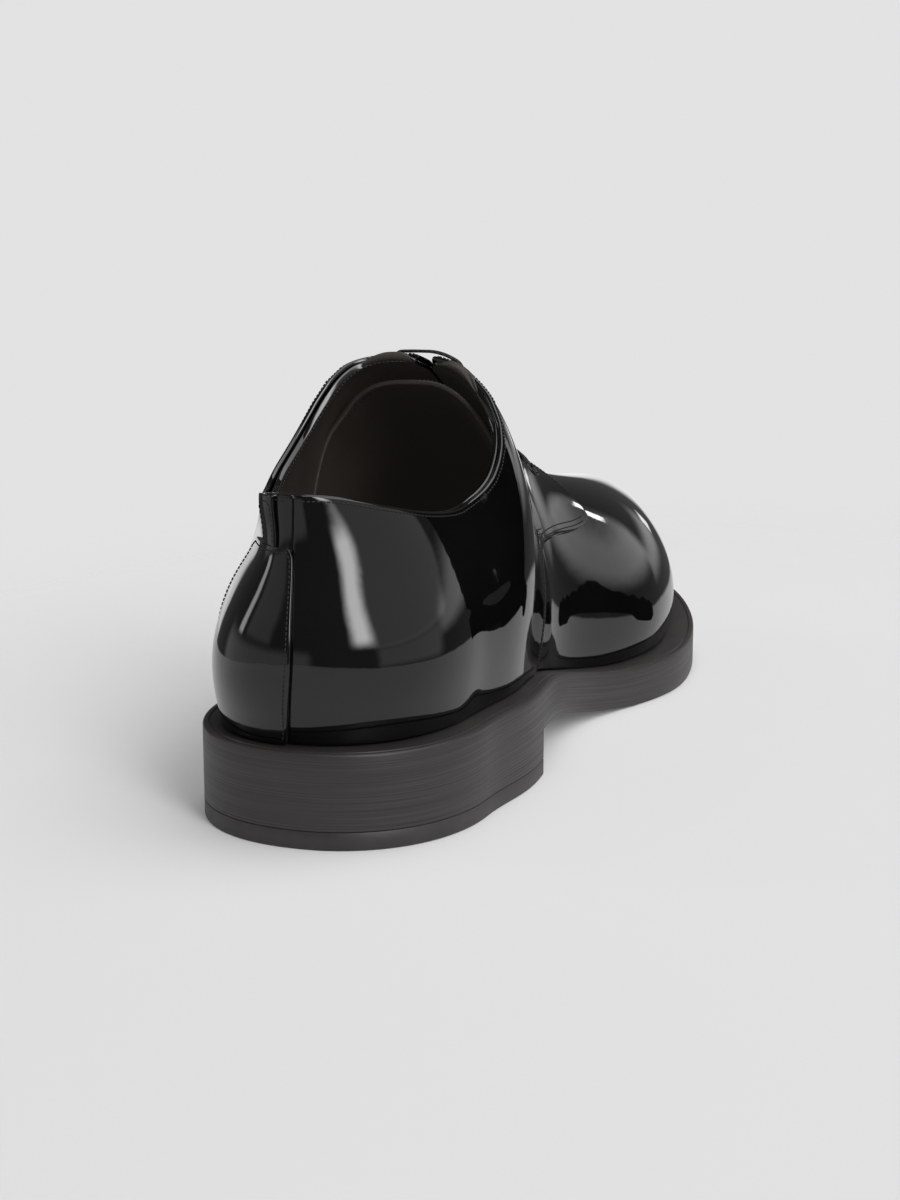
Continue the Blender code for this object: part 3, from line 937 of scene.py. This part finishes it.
def lay_stitches(mesh, stitch, path):
    """Copies a stitch along a path of points with normals."""
    runs = [0.0]
    for (one, _), (two, _) in zip(path, path[1:]):
        runs.append(runs[-1] + (two - one).length)
    count = max(1, int(runs[-1] / STITCH_SPACING))
    for number in range(count):
        run = (number + 0.5) * runs[-1] / count
        index = min(int(np.searchsorted(runs, run)), len(path) - 1)
        start, end = path[index - 1], path[index]
        share = (run - runs[index - 1]) / max(runs[index] - runs[index - 1], 1e-6)
        spot = start[0].lerp(end[0], share)
        up = start[1].lerp(end[1], share).normalized()
        ahead = (end[0] - start[0]).normalized()
        across = up.cross(ahead).normalized()
        ahead = across.cross(up)
        turn = Matrix((ahead, across, up)).transposed().to_4x4()
        known = len(mesh.verts)
        mesh.from_mesh(stitch)
        mesh.verts.ensure_lookup_table()
        bmesh.ops.transform(mesh, matrix=Matrix.Translation(spot * MM) @ turn, verts=mesh.verts[known:])


def down_column(column, side, outset, inset, from_top):
    """The place on a column at a distance from its upper or its lower end."""
    steps = 40
    spots = []
    for step in range(steps + 1):
        along, turn = on_column(column, 1 - step / steps if from_top else step / steps)
        spots.append((along, turn, last_point(along, turn, side, outset)))
    run = 0.0
    for one, two in zip(spots, spots[1:]):
        step = (two[2] - one[2]).length
        if run + step >= inset:
            return on_column((one, two), (inset - run) / step)
        run += step
    return None


def stitch_spot(*place):
    """A point of the last and its normal."""
    return last_point(*place), surface_normal(*place)


def edge_path(columns, side, outset, inset, from_top):
    """A path on a quarter or the lining at a distance from one of its edges."""
    path = []
    for column in columns:
        found = down_column(column, side, outset, inset, from_top)
        if found:
            path.append(stitch_spot(*found, side, outset))
    return path


def heel_path(span, bow, low, high, outset, inset):
    """A path round a heel panel's sides and top, set in from its edges."""
    corner = 1.5
    side_steps = 30
    top_steps = 14
    left = span[0] + inset
    right = span[1] - inset
    top = high - inset

    def wider(height):
        return bow * math.sin(math.pi * (height - low) / (high - low))

    heights = np.linspace(low, top - corner, side_steps)
    route = [(left - wider(height), height) for height in heights]
    route += [(across, top) for across in np.linspace(left + corner, right - corner, top_steps)]
    route += [(right + wider(height), height) for height in reversed(heights)]
    return [stitch_spot(*heel_spot(across, height, outset), outset) for across, height in route]


def make_stitching(thread):
    """Every visible row of stitches on the upper, the heel panel and the tongue."""
    foot_room = 1.5
    end_room = 0.6
    stitch = make_stitch()
    mesh = bmesh.new()
    for side in (MEDIAL, LATERAL):
        columns = quarter_columns(side, QUARTER_OUTSET)
        for inset in SEAM_ROWS:
            seam = edge_path(columns[QUARTER_HEEL:-3], side, QUARTER_OUTSET, inset, False)
            lay_stitches(mesh, stitch, seam)
        lay_stitches(mesh, stitch, edge_path(columns[1:-4], side, QUARTER_OUTSET, EDGE_ROW, True))
        inner = edge_path(upper_columns(side, -WALL)[1:UPPER_BACK], side, -WALL, LINING_ROW, True)
        lay_stitches(mesh, stitch, [(spot, -up) for spot, up in inner])
    floor = ledge_height(LEDGE) + foot_room
    lay_stitches(mesh, stitch, heel_path(PATCH_SPAN, PATCH_BOW, floor, PATCH_TOP, PATCH_OUTSET, PATCH_ROW))
    low = PATCH_TOP + end_room
    high = COLLAR[0].medial - end_room
    lay_stitches(mesh, stitch, heel_path(TAB_SPAN, 0.0, low, high, TAB_OUTSET, EDGE_ROW))
    for outset, face in ((-WALL - GAP, 1), (-WALL - GAP - TONGUE, -1)):
        path = []
        for share in np.linspace(-TONGUE_ROW_HALF, TONGUE_ROW_HALF, 44):
            along, turn, side = tongue_place(share, TONGUE_ROW)
            up = face * surface_normal(along, turn, side, outset)
            path.append((tongue_spot(along, turn, side, outset), up))
        lay_stitches(mesh, stitch, path)
    stitching = to_piece("stitching", mesh, [thread])
    bpy.data.meshes.remove(stitch)
    sew_on(stitching, "lace")


# How the lace lies: its height and crown over the facings, how it dives into its holes and narrows
# there, and how the top bar stands higher and tilts
LACE_LIFT = 0.6
LACE_CROWN = 0.25
DIVE_DEPTH = 2.05
BEFORE_HOLE = 2.6
PAST_HOLE = 1.0
HOLE_PINCH = 0.35
TOP_BAR_LIFT = 0.3
TOP_BAR_TILT = 1.7


def lace_spot(along, reach, lift):
    """A point over the facings, by its distance from the crest to either side."""
    side = MEDIAL if reach >= 0 else LATERAL
    outset = QUARTER_OUTSET + GAP + lift
    return last_point(along, turn_at_reach(along, abs(reach), side, outset), side, outset)


def make_lace(weave):
    """Straight bars of flat lace; each dives into its holes on both sides."""
    rows = 31
    columns = 7
    for number, middle in enumerate(LACE_ROWS, start=1):
        points = []
        for share in np.linspace(-1, 1, rows):
            reach = share * (LACE_REACH + PAST_HOLE)
            dive = ease((abs(reach) - (LACE_REACH - BEFORE_HOLE)) / (BEFORE_HOLE + PAST_HOLE))
            width = LACE_WIDTH * (1 - HOLE_PINCH * dive)
            line = []
            for across in np.linspace(-0.5, 0.5, columns):
                lift = LACE_LIFT + LACE_CROWN * (1 - (2 * across) ** 2)
                if number == 1:
                    lift += TOP_BAR_LIFT + TOP_BAR_TILT * (across + 0.5)
                lift = lift * (1 - dive) - DIVE_DEPTH * dive
                line.append(lace_spot(middle + across * width, reach, lift))
            points.append(line)
        bar = make_sheet("lace_run_%d" % number, points, [weave], LACE_THICKNESS)
        sew_on(bar, "lace", "lace_bar_%d" % number)


def make_holes(patent):
    """Rolled rims round the lace holes in the facings."""
    hole_radius = 2.6
    rim_radius = 0.35
    rim_steps = 8
    turn_steps = 20
    mesh = bmesh.new()
    for middle in LACE_ROWS:
        for side in (MEDIAL, LATERAL):
            turn = turn_at_reach(middle, LACE_REACH, side, QUARTER_OUTSET)
            spot = last_point(middle, turn, side, QUARTER_OUTSET) * MM
            up = surface_normal(middle, turn, side, QUARTER_OUTSET)
            ahead = Vector((0, 1, 0)) - up * up.y
            ahead.normalize()
            ring = bmesh.ops.create_circle(mesh, segments=rim_steps, radius=rim_radius * MM)["verts"]
            stand = Matrix((ahead, up, up.cross(ahead))).transposed().to_4x4()
            place = Matrix.Translation(spot + ahead * hole_radius * MM) @ stand
            bmesh.ops.transform(mesh, matrix=place, verts=ring)
            edges = list({edge for corner in ring for edge in corner.link_edges})
            bmesh.ops.spin(mesh, geom=ring + edges, cent=spot, axis=up, angle=2 * math.pi,
                           steps=turn_steps, use_merge=True)
    bmesh.ops.recalc_face_normals(mesh, faces=mesh.faces)
    sew_on(to_piece("lace_hole_rims", mesh, [patent]), "patent")


# The studio. The floor's alpha fades with the distance: as the camera sees it from the shoe's middle, and
# as the leather mirrors it from a spot behind the shoe
FLOOR_RADIUS = 1.2
FLOOR_TONE = 0.8
FLOOR_GLOW = 0.1
FLOOR_SQUEEZE = 1.5
SEEN_FADE = (0.16, 0.55)
MIRRORED_FADE = (0.55, 0.62)
MIRRORED_ALPHA = 0.78
MIRRORED_BACK = 0.25


def floor_distance(tree, where, back):
    """Distance over the floor from a spot on the middle line; it grows faster across the shoe."""
    squeeze = tree.nodes.new("ShaderNodeMapping")
    fill(squeeze, {"Scale": (FLOOR_SQUEEZE, 1.0, 1.0), "Location": (0.0, back, 0.0)})
    link(tree, where, squeeze.inputs["Vector"])
    distance = tree.nodes.new("ShaderNodeVectorMath")
    distance.operation = "LENGTH"
    link(tree, squeeze.outputs["Vector"], distance.inputs[0])
    return distance.outputs["Value"]


def make_floor():
    """A pale plain floor that fades into the pale background."""
    mesh = bmesh.new()
    bmesh.ops.create_circle(mesh, cap_ends=True, segments=96, radius=FLOOR_RADIUS)
    material, tree, shader, where = new_material("pale floor")
    fill(shader, {"Base Color": (FLOOR_TONE, FLOOR_TONE, FLOOR_TONE, 1), "Roughness": 0.9,
                  "Specular IOR Level": 0.0, "Emission Color": (1, 1, 1, 1),
                  "Emission Strength": FLOOR_GLOW})
    seen = fade_between(tree, floor_distance(tree, where, 0.0), *SEEN_FADE, 1.0, 0.0)
    distance = floor_distance(tree, where, MIRRORED_BACK)
    mirrored = fade_between(tree, distance, *MIRRORED_FADE, MIRRORED_ALPHA, 0.0)
    ends = tree.nodes.new("ShaderNodeMix")
    link(tree, tree.nodes.new("ShaderNodeLightPath").outputs["Is Camera Ray"], ends.inputs["Factor"])
    link(tree, mirrored, ends.inputs["A"])
    link(tree, seen, ends.inputs["B"])
    link(tree, ends.outputs["Result"], shader.inputs["Alpha"])
    to_piece("floor", mesh, [material])


# Outline of the dark card beside the inner side: its places along the shoe and heights
CARD = (
    (-42, 150), (-41, 126), (-40, 114), (-42, 108), (-40, 104), (-41, 99), (-39, 96), (-40, 91), (-37, 88),
    (-36, 83), (-33, 79), (-32, 75), (-29, 72), (-27, 66), (-26, 61), (-13, 58), (-11, 55), (-21, 52),
    (-20, 46), (-16, 40), (-12, 33), (6, 33), (30, 30), (54, 28), (62, 26), (72, 23), (80, 17), (90, 14),
    (105, 10), (120, 7), (130, 10), (122, 22), (112, 28), (104, 29), (96, 34), (88, 33), (80, 38), (74, 37),
    (68, 42), (62, 43), (59, 50), (57, 60), (60, 150),
)
CARD_PLACE = 90.0


def make_dark_card():
    """A black card close to the inner side, out of the picture, that darkens what the leather mirrors."""
    mesh = bmesh.new()
    bmesh.ops.create_circle(mesh, cap_ends=True, segments=len(CARD), radius=1.0)
    mesh.verts.ensure_lookup_table()
    for corner, (place, height) in zip(mesh.verts, CARD):
        corner.co = Vector((CARD_PLACE, place, height)) * MM
    material, _, shader, _ = new_material("black card")
    fill(shader, {"Base Color": (0.001, 0.001, 0.001, 1), "Roughness": 1.0, "Specular IOR Level": 0.0})
    card = to_piece("dark_card", mesh, [material])
    card.visible_camera = False
    card.visible_diffuse = False
    card.visible_shadow = False


# Soft boxes round the shoe, in degrees: azimuth from behind the heel towards the inner side, half the
# width, lower and upper elevation, and width of the soft rim
SoftBox = namedtuple("SoftBox", "azimuth half low high rim strength")
SOFT_BOXES = {
    "tall box beside the heel": SoftBox(53.5, 9, 18, 60, 13, 8.0),
    "wide panel at the inner side": SoftBox(95, 33, 13, 48, 4, 0.43),
    "its lower end": SoftBox(93, 28, -6, 13, 8, 0.43),
    "panel in front of the inner side": SoftBox(142, 20, 6, 18, 8, 0.83),
    "its far end": SoftBox(170, 10, 0, 7, 6, 0.5),
    "small lamp in front": SoftBox(158.5, 1.8, 18.8, 20.0, 0.8, 8.0),
    "pale ground in front": SoftBox(182, 1.6, 0, 3, 1.0, 1.5),
    "panel at the outer side": SoftBox(-52, 20, 12, 40, 8, 0.3),
    "narrow box at the outer side": SoftBox(-83, 4, 10, 30, 4, 2.6),
    "low panel behind the outer side": SoftBox(-150, 20, -8, 1, 4, 0.9),
    "low panel behind the heel": SoftBox(-50, 52, -12, 7, 10, 0.36),
}
ROOM_LIGHT = 0.08
BACKDROP = 0.766


def make_world():
    """Pale grey backdrop for the camera; soft boxes in a dim room for the light on the shoe."""
    world = bpy.data.worlds.new("studio")
    world.use_nodes = True
    bpy.context.scene.world = world
    tree = world.node_tree
    tree.nodes.clear()
    direction = tree.nodes.new("ShaderNodeSeparateXYZ")
    link(tree, tree.nodes.new("ShaderNodeTexCoord").outputs["Generated"], direction.inputs[0])
    behind = work_out(tree, "MULTIPLY", direction.outputs["Y"], -1.0)
    azimuth = work_out(tree, "DEGREES", work_out(tree, "ARCTAN2", direction.outputs["X"], behind))
    elevation = work_out(tree, "DEGREES", work_out(tree, "ARCSINE", direction.outputs["Z"]))
    total = ROOM_LIGHT
    for box in SOFT_BOXES.values():
        away = work_out(tree, "SUBTRACT", azimuth, box.azimuth)
        away = work_out(tree, "ABSOLUTE", work_out(tree, "WRAP", away, 180, -180))
        soft = box.rim / 2
        sides = fade_between(tree, away, box.half - soft, box.half + soft, 1.0, 0.0)
        foot = fade_between(tree, elevation, box.low - soft, box.low + soft, 0.0, 1.0)
        head = fade_between(tree, elevation, box.high - soft, box.high + soft, 1.0, 0.0)
        glow = work_out(tree, "MULTIPLY", work_out(tree, "MULTIPLY", sides, foot), head)
        total = work_out(tree, "MULTIPLY_ADD", glow, box.strength, total)
    room = tree.nodes.new("ShaderNodeBackground")
    link(tree, total, room.inputs["Strength"])
    fill(room, {"Color": (1, 1, 1, 1)})
    seen = tree.nodes.new("ShaderNodeBackground")
    fill(seen, {"Color": (1, 1, 1, 1), "Strength": BACKDROP})
    mix = tree.nodes.new("ShaderNodeMixShader")
    link(tree, tree.nodes.new("ShaderNodeLightPath").outputs["Is Camera Ray"], mix.inputs["Fac"])
    link(tree, room.outputs["Background"], mix.inputs[1])
    link(tree, seen.outputs["Background"], mix.inputs[2])
    end = tree.nodes.new("ShaderNodeOutputWorld")
    link(tree, mix.outputs["Shader"], end.inputs["Surface"])


def make_overhead_light():
    """One large soft box over the shoe."""
    width = 1.1
    radiance = 2.2
    target = Vector((0, 0, 0.05))
    lamp = bpy.data.lights.new("overhead", "AREA")
    lamp.shape = "RECTANGLE"
    lamp.size = width
    lamp.size_y = width
    lamp.energy = radiance * math.pi * width * width
    box = bpy.data.objects.new("overhead", lamp)
    box.location = (0.25, 0.1, 1.25)
    box.rotation_mode = "QUATERNION"
    box.rotation_quaternion = (box.location - target).to_track_quat("Z", "Y")
    bpy.context.scene.collection.objects.link(box)


# Where the photo was taken from: round from behind and above the floor in degrees, and the place in metres
CAMERA_AZIMUTH = math.radians(21.508)
CAMERA_ELEVATION = math.radians(11.343)
CAMERA_PLACE = (0.21675, -0.57651, 0.16099)
CAMERA_LENS = 57.544


def make_camera():
    """At the photograph's angle."""
    level = math.cos(CAMERA_ELEVATION)
    back = Vector((math.sin(CAMERA_AZIMUTH) * level, -math.cos(CAMERA_AZIMUTH) * level,
                   math.sin(CAMERA_ELEVATION)))
    lens = bpy.data.cameras.new("camera")
    lens.sensor_fit = "VERTICAL"
    lens.sensor_height = 36.0
    lens.lens = CAMERA_LENS
    lens.clip_start = 0.01
    camera = bpy.data.objects.new("camera", lens)
    camera.location = CAMERA_PLACE
    camera.rotation_mode = "QUATERNION"
    camera.rotation_quaternion = (-back).to_track_quat("-Z", "Y")
    bpy.context.scene.collection.objects.link(camera)
    bpy.context.scene.camera = camera


def main():
    bpy.context.scene.view_settings.view_transform = "Standard"
    surface = make_surface_group()
    patent = make_patent(surface)
    lining = make_lining_with_painted_glow(surface)
    thread = make_thread(surface)
    make_camera()
    make_sole(make_sole_edge())
    make_heel_lift(make_heel_rubber(surface))
    make_footbed(lining)
    make_upper(patent, lining)
    make_quarter(MEDIAL, patent)
    make_quarter(LATERAL, patent)
    make_heel_panels(patent)
    make_tongue(lining)
    make_stitching(thread)
    make_lace(make_lace_weave(surface))
    make_holes(patent)
    make_floor()
    make_dark_card()
    make_world()
    make_overhead_light()


main()
